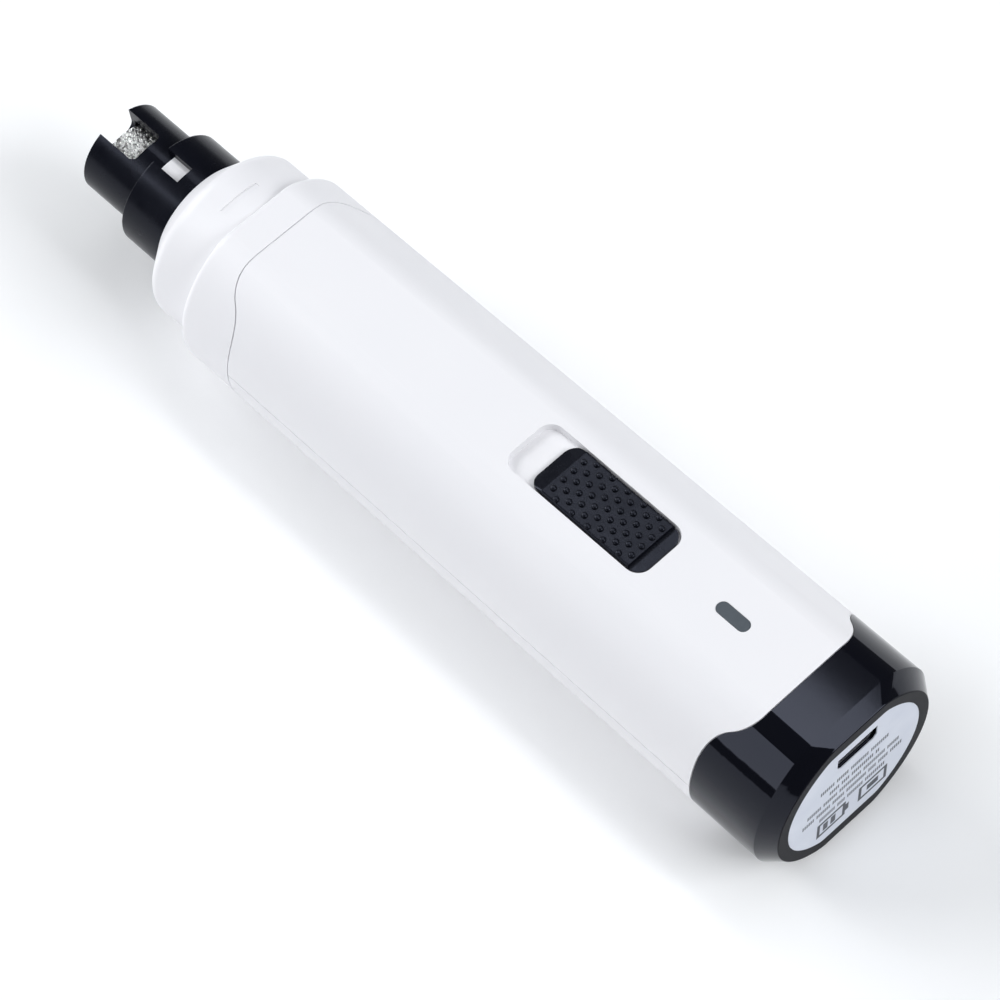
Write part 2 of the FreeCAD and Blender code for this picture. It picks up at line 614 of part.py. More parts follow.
# ---- spindle line ----------------------------------------------------------------------------
def drum_core():
    core = rod(DRUM_RADIUS - GRIT_THICKNESS - SEAT_GAP, DRUM_FRONT_X + LENGTH_GAP, DRUM_REAR_X)
    hub = rod(HUB_RADIUS, DRUM_REAR_X - LENGTH_GAP, HUB_REAR_X)
    bore = rod(ARBOR_RADIUS + SEAT_GAP, ARBOR_FRONT_X - LENGTH_GAP / 2, HUB_REAR_X + CLEAR)
    dimple = rod(DIMPLE_RADIUS, DRUM_FRONT_X - CLEAR, DRUM_FRONT_X + DIMPLE_DEPTH)
    return fuse_all([core, hub]).cut(bore).cut(dimple)


def grit_sleeve():
    sleeve = rod(DRUM_RADIUS, DRUM_FRONT_X, DRUM_REAR_X)
    sleeve = sleeve.makeFillet(SLEEVE_ROUNDING, [e for e in sleeve.Edges if e.BoundBox.XLength < 0.001])
    return sleeve.cut(rod(DRUM_RADIUS - GRIT_THICKNESS, DRUM_FRONT_X - CLEAR, DRUM_REAR_X + CLEAR))


def drum_arbor():
    return rod(ARBOR_RADIUS, ARBOR_FRONT_X, ARBOR_REAR_X)


def spindle_bush():
    return tube(BUSH_RADIUS, ARBOR_RADIUS + RUNNING_GAP, BUSH_FRONT_X, BUSH_REAR_X)


def dust_seal():
    return tube(SEAL_RADIUS, ARBOR_RADIUS + SEAL_LIP_GAP, SEAL_FRONT_X, SEAL_REAR_X)


def spindle_coupling():
    body = rod(COUPLING_RADIUS, COUPLING_FRONT_X, COUPLING_REAR_X)
    body = body.cut(rod(ARBOR_RADIUS + SEAT_GAP, COUPLING_FRONT_X - CLEAR, ARBOR_REAR_X + LENGTH_GAP / 2))
    return body.cut(rod(SHAFT_RADIUS + SEAT_GAP, ARBOR_REAR_X - CLEAR, COUPLING_REAR_X + CLEAR))


def motor_shaft():
    return rod(SHAFT_RADIUS, ARBOR_REAR_X + LENGTH_GAP, MOTOR_REAR_X + LENGTH_GAP)


# ---- motor -----------------------------------------------------------------------------------
def motor_plate():
    x0 = BULKHEAD_X - CLEAR
    x1 = MOTOR_FRONT_X + CLEAR
    plate = rod(PLATE_RADIUS, BULKHEAD_X + SEAT_GAP, MOTOR_FRONT_X - SEAT_GAP).cut(rod(PLATE_BORE, x0, x1))
    for y in (-MOTOR_SCREW_Y, MOTOR_SCREW_Y):
        plate = plate.cut(rod(PLATE_HOLE_RADIUS, x0, x1, y))
    return plate


def motor_screws():
    length, width = SCREW_SLOT
    head_x = BULKHEAD_X - SCREW_HEAD_LENGTH
    screws = []
    for y in (-MOTOR_SCREW_Y, MOTOR_SCREW_Y):
        head = rod(SCREW_HEAD_RADIUS, head_x, BULKHEAD_X, y)
        slot = box(head_x - CLEAR, head_x + width, y - length / 2, y + length / 2, -width / 2, width / 2)
        shank = rod(SCREW_SHANK_RADIUS, BULKHEAD_X - width / 2, MOTOR_FRONT_X + width, y)
        screws.append(fuse_all([head, shank]).cut(slot))
    return Part.makeCompound(screws)


def motor_can():
    can = rod(MOTOR_RADIUS, MOTOR_FRONT_X, MOTOR_CAN_REAR_X)
    hollow = rod(MOTOR_RADIUS - CAN_THICKNESS, MOTOR_FRONT_X + CAN_THICKNESS, MOTOR_CAN_REAR_X + CLEAR)
    boss = rod(BOSS_RADIUS, MOTOR_FRONT_X - BOSS_LENGTH, MOTOR_FRONT_X + CLEAR)
    bore = rod(FRONT_BUSH_RADIUS + SEAT_GAP, MOTOR_FRONT_X - 2 * BOSS_LENGTH, MOTOR_FRONT_X + 2 * CLEAR)
    can = fuse_all([can.cut(hollow), boss]).cut(bore)
    for y in (-MOTOR_SCREW_Y, MOTOR_SCREW_Y):
        can = can.cut(rod(CAN_TAPPED_RADIUS, MOTOR_FRONT_X - CLEAR, MOTOR_FRONT_X + 2 * CLEAR, y))
    return can


def motor_front_bush():
    return tube(FRONT_BUSH_RADIUS, SHAFT_RADIUS + RUNNING_GAP,
                MOTOR_FRONT_X - BOSS_LENGTH + LENGTH_GAP / 2, MOTOR_FRONT_X + CAN_THICKNESS)


def motor_end_bell():
    x0 = MOTOR_CAN_REAR_X - CLEAR
    x1 = MOTOR_REAR_X + CLEAR
    thin, wide = TERMINAL_HALF
    bell = rod(MOTOR_RADIUS - LIP_GAP, MOTOR_CAN_REAR_X + SEAT_GAP, MOTOR_REAR_X)
    bell = bell.cut(rod(MOTOR_RADIUS - BELL_RIM, x0, MOTOR_CAN_REAR_X + BELL_POCKET_DEPTH))
    bell = bell.cut(rod(REAR_BUSH_RADIUS + SEAT_GAP, x0, x1))
    for sy in (-1, 1):
        y = sy * TERMINAL_Y
        slot = box(x0, x1, y - thin - RUNNING_GAP, y + thin + RUNNING_GAP, -wide - LIP_GAP, wide + LIP_GAP)
        bell = bell.cut(slot)
    return bell


def motor_rear_bush():
    return tube(REAR_BUSH_RADIUS, SHAFT_RADIUS + RUNNING_GAP, MOTOR_REAR_X - REAR_BUSH_LENGTH, MOTOR_REAR_X)


def motor_magnets():
    """Two arc magnets facing each other across the armature."""
    ring = tube(MOTOR_RADIUS - CAN_THICKNESS - SEAT_GAP, MAGNET_BORE, MAGNET_FRONT_X, MAGNET_REAR_X)
    half = MAGNET_HALF_WIDTH
    return Part.makeCompound([
        ring.common(box(MAGNET_FRONT_X, MAGNET_REAR_X, -half, half, CLEAR, BEYOND)),
        ring.common(box(MAGNET_FRONT_X, MAGNET_REAR_X, -half, half, -BEYOND, -CLEAR))])


def armature_core():
    """Laminated core with its poles evenly round the shaft."""
    x0 = CORE_FRONT_X
    x1 = CORE_REAR_X
    parts = [rod(CORE_STEM_RADIUS, x0, x1)]
    for index in range(POLES):
        web = box(x0, x1, -WEB_HALF_WIDTH, WEB_HALF_WIDTH, CORE_STEM_RADIUS - CLEAR, SHOE_BORE + LIP_GAP)
        shoe = tube(CORE_RADIUS, SHOE_BORE, x0, x1)
        shoe = shoe.common(box(x0, x1, -SHOE_HALF_WIDTH, SHOE_HALF_WIDTH, CORE_STEM_RADIUS, BEYOND))
        parts.append(turned(fuse_all([web, shoe]), 360.0 / POLES * index))
    return fuse_all(parts).cut(rod(SHAFT_RADIUS + SEAT_GAP, x0 - CLEAR, x1 + CLEAR))


def armature_windings():
    """One copper coil round each pole."""
    side = COIL_HALF_WIDTH
    web = WEB_HALF_WIDTH + LIP_GAP
    coils = []
    for index in range(POLES):
        coil = box(CORE_FRONT_X - COIL_OVERHANG, CORE_REAR_X + COIL_OVERHANG, -side, side,
                   COIL_INNER_Z, COIL_OUTER_Z)
        coil = coil.cut(box(CORE_FRONT_X - RUNNING_GAP, CORE_REAR_X + RUNNING_GAP, -web, web,
                            COIL_INNER_Z - CLEAR, COIL_OUTER_Z + CLEAR))
        coils.append(turned(coil, 360.0 / POLES * index))
    return Part.makeCompound(coils)


def commutator():
    return tube(COMMUTATOR_RADIUS, SHAFT_RADIUS + SEAT_GAP, COMMUTATOR_FRONT_X, COMMUTATOR_REAR_X)


def motor_brushes():
    """Two spring leaves that carry the current to the commutator."""
    half = LEAF_HALF_WIDTH
    leaves = []
    for sy in (-1, 1):
        y0, y1 = sorted((sy * BRUSH_Y, sy * (BRUSH_Y + LEAF_THICKNESS)))
        leaf = box(LEAF_FRONT_X, LEAF_REAR_X, y0, y1, -half, half)
        y0, y1 = sorted((sy * BRUSH_Y, sy * LEAF_FOOT_Y))
        foot = box(LEAF_FOOT_X[0], LEAF_FOOT_X[1], y0, y1, -half, half)
        leaves.append(fuse_all([leaf, foot]))
    return Part.makeCompound(leaves)


def motor_terminals():
    thin, wide = TERMINAL_HALF
    blades = []
    for y in (-TERMINAL_Y, TERMINAL_Y):
        blades.append(box(TERMINAL_FRONT_X, MOTOR_REAR_X + TERMINAL_REACH, y - thin, y + thin, -wide, wide))
    return Part.makeCompound(blades)


def damper_ring():
    """Rubber band that keeps the motor from rattling in the shells."""
    return tube(DAMPER_RADIUS, MOTOR_RADIUS + SEAT_GAP, DAMPER_FRONT_X, DAMPER_REAR_X)


# ---- battery ---------------------------------------------------------------------------------
def battery_can():
    """Thin steel can of the rechargeable cell."""
    x0 = CELL_FRONT_X + CELL_NIPPLE_LENGTH + SEAT_GAP
    x1 = CELL_FRONT_X + CELL_LENGTH
    radius = CELL_RADIUS - CELL_CAN_GAP
    hollow = rod(radius - CELL_CAN_WALL, x0 + CELL_CAN_WALL, x1 - CELL_CAN_WALL, 0, CELL_Z)
    return rod(radius, x0, x1, 0, CELL_Z).cut(hollow)


def battery_roll():
    """Wound electrodes inside the can."""
    end = CELL_CAN_WALL + SEAT_GAP
    return rod(CELL_RADIUS - CELL_CAN_GAP - end, CELL_FRONT_X + CELL_NIPPLE_LENGTH + SEAT_GAP + end,
               CELL_FRONT_X + CELL_LENGTH - end, 0, CELL_Z)


def battery_positive_cap():
    return rod(CELL_NIPPLE_RADIUS, CELL_FRONT_X, CELL_FRONT_X + CELL_NIPPLE_LENGTH, 0, CELL_Z)


def battery_sleeve():
    return tube(CELL_RADIUS, CELL_RADIUS - CELL_SLEEVE_WALL, CELL_FRONT_X + CELL_NIPPLE_LENGTH - LIP_GAP,
                CELL_FRONT_X + CELL_LENGTH - LIP_GAP, 0, CELL_Z)


def battery_tabs():
    """Nickel strip welded to each end of the cell."""
    tabs = []
    for x in (CELL_FRONT_X - SEAT_GAP - TAB_THICKNESS, CELL_FRONT_X + CELL_LENGTH + SEAT_GAP):
        tabs.append(box(x, x + TAB_THICKNESS, -TAB_HALF_WIDTH, TAB_HALF_WIDTH,
                        CELL_Z - TAB_HALF_WIDTH, CELL_Z + TAB_RISE))
    return Part.makeCompound(tabs)


def battery_cradle():
    """Three saddles on two rails, resting in the lower shell."""
    fill = grip_bar(WALL + LIP_GAP, CELL_FRONT_X, CELL_FRONT_X + CELL_LENGTH)
    saddles = []
    for start in SADDLE_STARTS:
        x = CELL_FRONT_X + start
        saddles.append(box(x, x + SADDLE_LENGTH, -SADDLE_HALF_WIDTH, SADDLE_HALF_WIDTH, *SADDLE_Z))
    x0 = CELL_FRONT_X + SADDLE_STARTS[0]
    x1 = CELL_FRONT_X + SADDLE_STARTS[-1] + SADDLE_LENGTH
    for sy in (-1, 1):
        y0, y1 = sorted((sy * RAIL_Y[0], sy * RAIL_Y[1]))
        saddles.append(box(x0, x1, y0, y1, *RAIL_Z))
    cradle = fuse_all(saddles).common(fill)
    return cradle.cut(rod(CELL_RADIUS + LIP_GAP, x0 - CLEAR, x1 + CLEAR, 0, CELL_Z))


def foam_pads():
    pads = []
    for start in PAD_STARTS:
        x = CELL_FRONT_X + start
        pad = box(x, x + PAD_LENGTH, -PAD_HALF_WIDTH, PAD_HALF_WIDTH, *PAD_Z)
        pads.append(pad.cut(rod(CELL_RADIUS + SEAT_GAP, x - CLEAR, x + PAD_LENGTH + CLEAR, 0, CELL_Z)))
    return Part.makeCompound(pads)


# ---- board and what it carries ---------------------------------------------------------------
def circuit_board():
    board = rounded_block(BOARD_FRONT_X, BOARD_REAR_X, BOARD_HALF_WIDTH, BOARD_CORNER,
                          BOARD_TOP_Z - BOARD_THICKNESS, BOARD_TOP_Z)
    for x in POST_XS:
        for y in (-POST_Y, POST_Y):
            hole = post(BOARD_HOLE_RADIUS, BOARD_TOP_Z - BOARD_THICKNESS - CLEAR, BOARD_TOP_Z + CLEAR, x, y)
            board = board.cut(hole)
    return board


def board_screws():
    under = BOARD_TOP_Z - BOARD_THICKNESS
    radius, height = BOARD_SCREW_HEAD
    length, width = BOARD_SCREW_SLOT
    screws = []
    for x in POST_XS:
        for y in (-POST_Y, POST_Y):
            head = post(radius, under - height, under - SEAT_GAP, x, y)
            slot = box(x - length / 2, x + length / 2, y - width / 2, y + width / 2,
                       under - height - CLEAR, under - height + width)
            shank = post(BOARD_SCREW_RADIUS, under - width, BOARD_TOP_Z + BOARD_SCREW_REACH, x, y)
            screws.append(fuse_all([head, shank]).cut(slot))
    return Part.makeCompound(screws)


def board_chips():
    """Charging and motor control chips."""
    z = BOARD_TOP_Z + SEAT_GAP
    return Part.makeCompound([box(x0, x1, y0, y1, z, z + height) for x0, x1, y0, y1, height in CHIPS])


def board_small_parts():
    """Rows of chip resistors and capacitors."""
    z = BOARD_TOP_Z + SEAT_GAP
    length, width, height = SMALL_PART_SIZE
    parts = []
    for x in SMALL_PART_XS:
        for y in SMALL_PART_YS:
            parts.append(box(x, x + length, y, y + width, z, z + height))
    return Part.makeCompound(parts)


def switch_body():
    z0 = BOARD_TOP_Z + SEAT_GAP
    side = SWITCH_BODY_HALF_WIDTH
    well_side = SWITCH_WELL_HALF_WIDTH
    frame = box(ACTUATOR_X + SWITCH_BODY_X[0], ACTUATOR_X + SWITCH_BODY_X[1], -side, side,
                z0, SWITCH_BODY_TOP_Z)
    well = box(ACTUATOR_X + SWITCH_WELL_X[0], ACTUATOR_X + SWITCH_WELL_X[1], -well_side, well_side,
               z0 + well_side, SWITCH_BODY_TOP_Z + CLEAR)
    return frame.cut(well)


def switch_actuator():
    """Slider of the electrical switch; the knob's fork pushes its stem."""
    foot_z = BOARD_TOP_Z + SEAT_GAP + SWITCH_WELL_HALF_WIDTH + LIP_GAP
    side = SWITCH_WELL_HALF_WIDTH - LIP_GAP
    shoe = box(ACTUATOR_X - SHOE_HALF_LENGTH, ACTUATOR_X + SHOE_HALF_LENGTH, -side, side,
               foot_z, SWITCH_BODY_TOP_Z - CLEAR)
    stem = box(ACTUATOR_X - STEM_HALF_LENGTH, ACTUATOR_X + STEM_HALF_LENGTH,
               -STEM_HALF_WIDTH, STEM_HALF_WIDTH, foot_z + LIP_GAP, STEM_TOP_Z)
    return fuse_all([shoe, stem])


def knob_field_z(x):
    """Height of the dished thumb field."""
    middle = (KNOB_FIELD_FRONT_X + KNOB_FIELD_REAR_X) / 2
    half = (KNOB_FIELD_REAR_X - KNOB_FIELD_FRONT_X) / 2
    return KNOB_TOP_Z - KNOB_DISH * (1.0 - ((x - middle) / half) ** 2)


def knob_studs():
    """Raised dots in staggered columns, four and five to a column."""
    stud = post(STUD_RADIUS, -STUD_HEIGHT, STUD_HEIGHT, 0, 0)
    top_edges = [edge for edge in stud.Edges if edge.BoundBox.ZMin > STUD_HEIGHT / 2]
    stud = stud.makeFillet(STUD_ROUNDING, top_edges)
    studs = []
    for column in range(STUD_COLUMNS):
        count = STUDS_IN_COLUMN[column % 2]
        x = STUD_FIRST_X + STUD_PITCH_X * column
        for index in range(count):
            y = (index - (count - 1) / 2.0) * STUD_PITCH_Y
            studs.append(moved(stud, x, y, knob_field_z(x)))
    return studs


def switch_knob():
    """Thumb slide: ramp in front, dished field with studs, groove and low lip behind."""
    base_z = RECESS_FLOOR_Z + KNOB_LIFT
    groove_z = base_z + KNOB_GROOVE_FLOOR
    middle = (KNOB_FIELD_FRONT_X + KNOB_FIELD_REAR_X) / 2
    width = KNOB_HALF_WIDTH
    ramp = [(KNOB_FRONT_X, base_z), (KNOB_FRONT_X, groove_z), (KNOB_FIELD_FRONT_X, KNOB_TOP_Z)]
    behind = [
        (KNOB_FIELD_REAR_X, KNOB_TOP_Z), (KNOB_FIELD_REAR_X + LIP_GAP, groove_z),
        (KNOB_LIP_FRONT_X - LIP_GAP, groove_z), (KNOB_LIP_FRONT_X, base_z + KNOB_LIP_HEIGHTS[0]),
        (KNOB_REAR_X, base_z + KNOB_LIP_HEIGHTS[1]), (KNOB_REAR_X, base_z), (KNOB_FRONT_X, base_z)]
    before = [vec(x, -width, z) for x, z in ramp]
    after = [vec(x, -width, z) for x, z in behind]
    edges = [Part.LineSegment(a, b).toShape() for a, b in zip(before, before[1:])]
    edges.append(Part.Arc(before[-1], vec(middle, -width, knob_field_z(middle)), after[0]).toShape())
    edges.extend(Part.LineSegment(a, b).toShape() for a, b in zip(after, after[1:]))
    slab = Part.Face(Part.Wire(edges)).extrude(vec(0, 2 * width, 0))
    long_sides = [edge for edge in slab.Edges
                  if edge.BoundBox.YLength < 0.01 and edge.BoundBox.XLength > 2.0
                  and edge.BoundBox.ZMax > KNOB_TOP_Z - 2 * KNOB_DISH]
    slab = slab.makeFillet(KNOB_EDGE_ROUNDING, long_sides)
    plan = rounded_block(KNOB_FRONT_X, KNOB_REAR_X, width, KNOB_CORNER, base_z - CLEAR, KNOB_TOP_Z + CLEAR)
    slab = slab.common(plan)
    fork = []
    for sx in (-1, 1):
        x0, x1 = sorted((ACTUATOR_X + sx * FORK_X[0], ACTUATOR_X + sx * FORK_X[1]))
        fork.append(box(x0, x1, -FORK_HALF_WIDTH, FORK_HALF_WIDTH, FORK_Z[0], groove_z))
        fork.append(box(x0, x1, -FORK_FOOT_HALF_WIDTH, FORK_FOOT_HALF_WIDTH, *FORK_Z))
    return fuse_all([slab] + fork + knob_studs())


def led_lens():
    """Pill-shaped window flush with the upper flat, with a light guide below it."""
    half_length = LENS_LENGTH / 2
    half_width = LENS_WIDTH / 2
    flange_z0, flange_z1 = LENS_FLANGE_Z
    pill = rounded_block(LENS_X - half_length, LENS_X + half_length, half_width,
                         half_width - LENS_GAP, flange_z0 + LENGTH_GAP, FLAT_HEIGHT - SEAT_GAP)
    flange = rounded_block(LENS_X - half_length - LENS_FLANGE, LENS_X + half_length + LENS_FLANGE,
                           half_width + LENS_FLANGE, half_width, flange_z0, flange_z1)
    guide = post(GUIDE_RADIUS, BOARD_TOP_Z + GUIDE_GAP, flange_z1, LENS_X, 0)
    return fuse_all([pill, flange, guide])


def led_lamp():
    z = BOARD_TOP_Z + SEAT_GAP
    half_length, half_width, height = LAMP_SIZE
    return box(LENS_X - half_length, LENS_X + half_length, -half_width, half_width, z, z + height)


def socket_shell():
    body = socket_cutter(0.0, SOCKET_FRONT_X, TAIL_X - SOCKET_SETBACK)
    return body.cut(socket_cutter(-SOCKET_WALL, SOCKET_FRONT_X + SOCKET_WALL, TAIL_X + CLEAR))


def socket_tongue():
    z0 = SOCKET_Z + TONGUE_Z[0]
    rear_x = TAIL_X - TONGUE_SETBACK
    parts = [box(TONGUE_FRONT_X, rear_x, -TONGUE_HALF_WIDTH, TONGUE_HALF_WIDTH, z0, SOCKET_Z + TONGUE_Z[1])]
    for index in range(5):
        y = (index - 2) * CONTACT_PITCH
        parts.append(box(CONTACT_FRONT_X, rear_x - LENGTH_GAP, y - CONTACT_HALF_WIDTH, y + CONTACT_HALF_WIDTH,
                         z0 - LIP_GAP, SOCKET_Z))
    return fuse_all(parts)


def motor_leads():
    under = BOARD_TOP_Z - BOARD_THICKNESS - LEAD_RADIUS - RUNNING_GAP
    wires = []
    for sy in (-1, 1):
        wires.append(lead([
            vec(MOTOR_REAR_X + TERMINAL_REACH + LEAD_RADIUS, sy * TERMINAL_Y, 0.0),
            vec(CELL_FRONT_X + 2.0, sy * LEAD_SIDE_Y, 1.0),
            vec(CELL_FRONT_X + 5.0, sy * LEAD_SIDE_Y, 4.2),
            vec(BOARD_FRONT_X + 3.0, sy * (LEAD_SIDE_Y - 0.5), under)], LEAD_RADIUS))
    return Part.makeCompound(wires)


def battery_leads():
    under = BOARD_TOP_Z - BOARD_THICKNESS
    off = LEAD_RADIUS + TAB_THICKNESS + 2 * SEAT_GAP
    foot_z = CELL_Z + TAB_RISE - LEAD_RADIUS
    x_front = CELL_FRONT_X - off
    x_rear = CELL_FRONT_X + CELL_LENGTH + off
    front = lead([
        vec(x_front, 0, foot_z),
        vec(x_front, 0, under - 2 * LEAD_RADIUS),
        vec(BOARD_FRONT_X + 2 * LEAD_RADIUS, 0, under - LEAD_RADIUS - RUNNING_GAP)], LEAD_RADIUS)
    rear = lead([vec(x_rear, 0, foot_z), vec(x_rear, 0, under - SEAT_GAP)], LEAD_RADIUS)
    return Part.makeCompound([front, rear])


# ---- write every piece -----------------------------------------------------------------------
def save(name, shape):
    lifted = moved(shape, 0, 0, FLAT_HEIGHT)
    lifted.exportStep("parts/" + name + ".step")


shells = shell_wall()
save("upper_shell", upper_shell(shells))
save("lower_shell", lower_shell(shells))
for piece in (
        nose_housing, tail_cap, tail_label, guard_cap,
        drum_core, grit_sleeve, drum_arbor, spindle_bush, dust_seal, spindle_coupling,
        motor_shaft, motor_plate, motor_screws, motor_can, motor_front_bush, motor_end_bell,
        motor_rear_bush, motor_magnets, armature_core, armature_windings, commutator,
        motor_brushes, motor_terminals, damper_ring,
        battery_can, battery_roll, battery_positive_cap, battery_sleeve, battery_tabs, battery_cradle,
        foam_pads,
        circuit_board, board_screws, board_chips, board_small_parts,
        switch_body, switch_actuator, switch_knob, led_lens, led_lamp,
        socket_shell, socket_tongue, motor_leads, battery_leads):
    save(piece.__name__, piece())
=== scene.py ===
import json
import math
import random

import bpy
from mathutils import Matrix, Vector
from mathutils.kdtree import KDTree


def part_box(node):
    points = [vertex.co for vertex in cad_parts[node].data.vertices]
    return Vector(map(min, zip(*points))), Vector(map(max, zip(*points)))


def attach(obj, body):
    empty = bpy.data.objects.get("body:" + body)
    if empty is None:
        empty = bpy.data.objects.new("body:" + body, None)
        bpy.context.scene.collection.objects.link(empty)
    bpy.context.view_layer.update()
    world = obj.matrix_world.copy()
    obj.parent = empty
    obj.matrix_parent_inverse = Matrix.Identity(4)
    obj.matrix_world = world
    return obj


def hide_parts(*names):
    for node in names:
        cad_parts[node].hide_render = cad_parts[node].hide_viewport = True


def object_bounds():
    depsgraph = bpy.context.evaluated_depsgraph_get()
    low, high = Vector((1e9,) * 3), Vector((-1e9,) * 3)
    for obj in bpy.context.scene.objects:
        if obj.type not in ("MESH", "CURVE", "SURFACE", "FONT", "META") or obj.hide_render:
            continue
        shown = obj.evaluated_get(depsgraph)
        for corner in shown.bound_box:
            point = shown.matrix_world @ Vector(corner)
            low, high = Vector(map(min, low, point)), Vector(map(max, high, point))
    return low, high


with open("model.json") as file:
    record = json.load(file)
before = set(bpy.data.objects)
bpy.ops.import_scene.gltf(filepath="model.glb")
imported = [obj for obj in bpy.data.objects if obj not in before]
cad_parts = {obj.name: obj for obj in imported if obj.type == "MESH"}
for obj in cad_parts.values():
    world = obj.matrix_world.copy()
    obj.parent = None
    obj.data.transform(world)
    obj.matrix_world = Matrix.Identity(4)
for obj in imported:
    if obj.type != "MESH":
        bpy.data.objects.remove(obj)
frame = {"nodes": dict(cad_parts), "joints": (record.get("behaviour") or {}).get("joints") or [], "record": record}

CAD_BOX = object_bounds()
MM = 0.001

# Everything round is drawn about the spindle axis, which the frame gives.
AXIS_Z = next(joint for joint in frame["joints"] if joint["name"] == "spindle_spin")["pos_m"][2]


# ---- camera ----------------------------------------------------------------------------------
CAMERA_AZIMUTH = 46.28
CAMERA_ELEVATION = 58.97
CAMERA_ROLL = -1.01
CAMERA_DISTANCE = 0.6807
CAMERA_TARGET = Vector((0.00944, -0.00344, AXIS_Z))
CAMERA_LENS = 164.0
SENSOR_WIDTH = 36.0
CLIP_START = 0.01
CLIP_END = 20.0


def make_camera():
    azimuth = math.radians(CAMERA_AZIMUTH)
    elevation = math.radians(CAMERA_ELEVATION)
    roll = math.radians(CAMERA_ROLL)
    back = Vector((math.sin(azimuth) * math.cos(elevation),
                   -math.cos(azimuth) * math.cos(elevation),
                   math.sin(elevation)))
    level_right = Vector((math.cos(azimuth), math.sin(azimuth), 0.0))
    level_up = back.cross(level_right)
    right = math.cos(roll) * level_right + math.sin(roll) * level_up
    up = back.cross(right)
    data = bpy.data.cameras.new("camera")
    data.lens = CAMERA_LENS
    data.sensor_width = SENSOR_WIDTH
    data.clip_start = CLIP_START
    data.clip_end = CLIP_END
    camera = bpy.data.objects.new("camera", data)
    place = CAMERA_TARGET + back * CAMERA_DISTANCE
    turn = Matrix((right, up, back)).transposed().to_4x4()
    camera.matrix_world = Matrix.Translation(place) @ turn
    bpy.context.scene.collection.objects.link(camera)
    bpy.context.scene.camera = camera


# ---- floor and light -------------------------------------------------------------------------
# (name, direction from the object, distance, size across and up, radiance)
SOFTBOXES = [
    ("overhead", (0.0, 0.325, 0.946), 1.4, (2.0, 0.2), 3.9),
    ("near_side", (-0.12, -0.90, 0.42), 1.4, (0.75, 0.75), 2.3),
    ("tail_side", (0.76, 0.30, 0.58), 1.5, (0.9, 0.7), 7.1),
    ("nose_side", (-0.86, -0.10, 0.50), 1.5, (0.9, 0.9), 4.4),
    ("nose_high", (-0.66, -0.44, 0.61), 1.5, (0.5, 0.5), 7.0),
]
WORLD_COLOUR = (0.9, 0.94, 1.0)
WORLD_STRENGTH = 0.12
SOFTBOX_TINT = (0.96, 0.98, 1.0)
FLOOR_COLOUR = (0.95, 0.95, 0.955)
FLOOR_GLOW = 0.06
FLOOR_ROUGHNESS = 0.9
FLOOR_SPECULAR = 0.1
FLOOR_HALF = 3.0


def softbox(name, direction, distance, size, radiance):
    data = bpy.data.lights.new(name, "AREA")
    data.shape = "RECTANGLE"
    data.size, data.size_y = size
    data.energy = radiance * math.pi * size[0] * size[1]
    data.color = SOFTBOX_TINT
    light = bpy.data.objects.new(name, data)
    away = Vector(direction).normalized()
    light.location = away * distance
    light.rotation_euler = (-away).to_track_quat("-Z", "Y").to_euler()
    bpy.context.scene.collection.objects.link(light)


def make_stage():
    mesh = bpy.data.meshes.new("floor")
    half = FLOOR_HALF
    corners = [(-half, -half, 0), (half, -half, 0), (half, half, 0), (-half, half, 0)]
    mesh.from_pydata(corners, [], [(0, 1, 2, 3)])
    floor = bpy.data.objects.new("floor", mesh)
    bpy.context.scene.collection.objects.link(floor)
    material = bpy.data.materials.new("floor_paper")
    material.use_nodes = True
    shader = material.node_tree.nodes["Principled BSDF"]
    shader.inputs["Base Color"].default_value = (*FLOOR_COLOUR, 1.0)
    shader.inputs["Roughness"].default_value = FLOOR_ROUGHNESS
    shader.inputs["Specular IOR Level"].default_value = FLOOR_SPECULAR
    shader.inputs["Emission Color"].default_value = (1.0, 1.0, 1.0, 1.0)
    shader.inputs["Emission Strength"].default_value = FLOOR_GLOW
    floor.data.materials.append(material)

    world = bpy.data.worlds.new("studio")
    world.use_nodes = True
    background = world.node_tree.nodes["Background"]
    background.inputs["Color"].default_value = (*WORLD_COLOUR, 1.0)
    background.inputs["Strength"].default_value = WORLD_STRENGTH
    bpy.context.scene.world = world
    for box in SOFTBOXES:
        softbox(*box)
    bpy.context.scene.view_settings.view_transform = "Standard"


# ---- materials -------------------------------------------------------------------------------
WAVE_SCALE = 0.314                 # wave texture scale for bands one metre apart


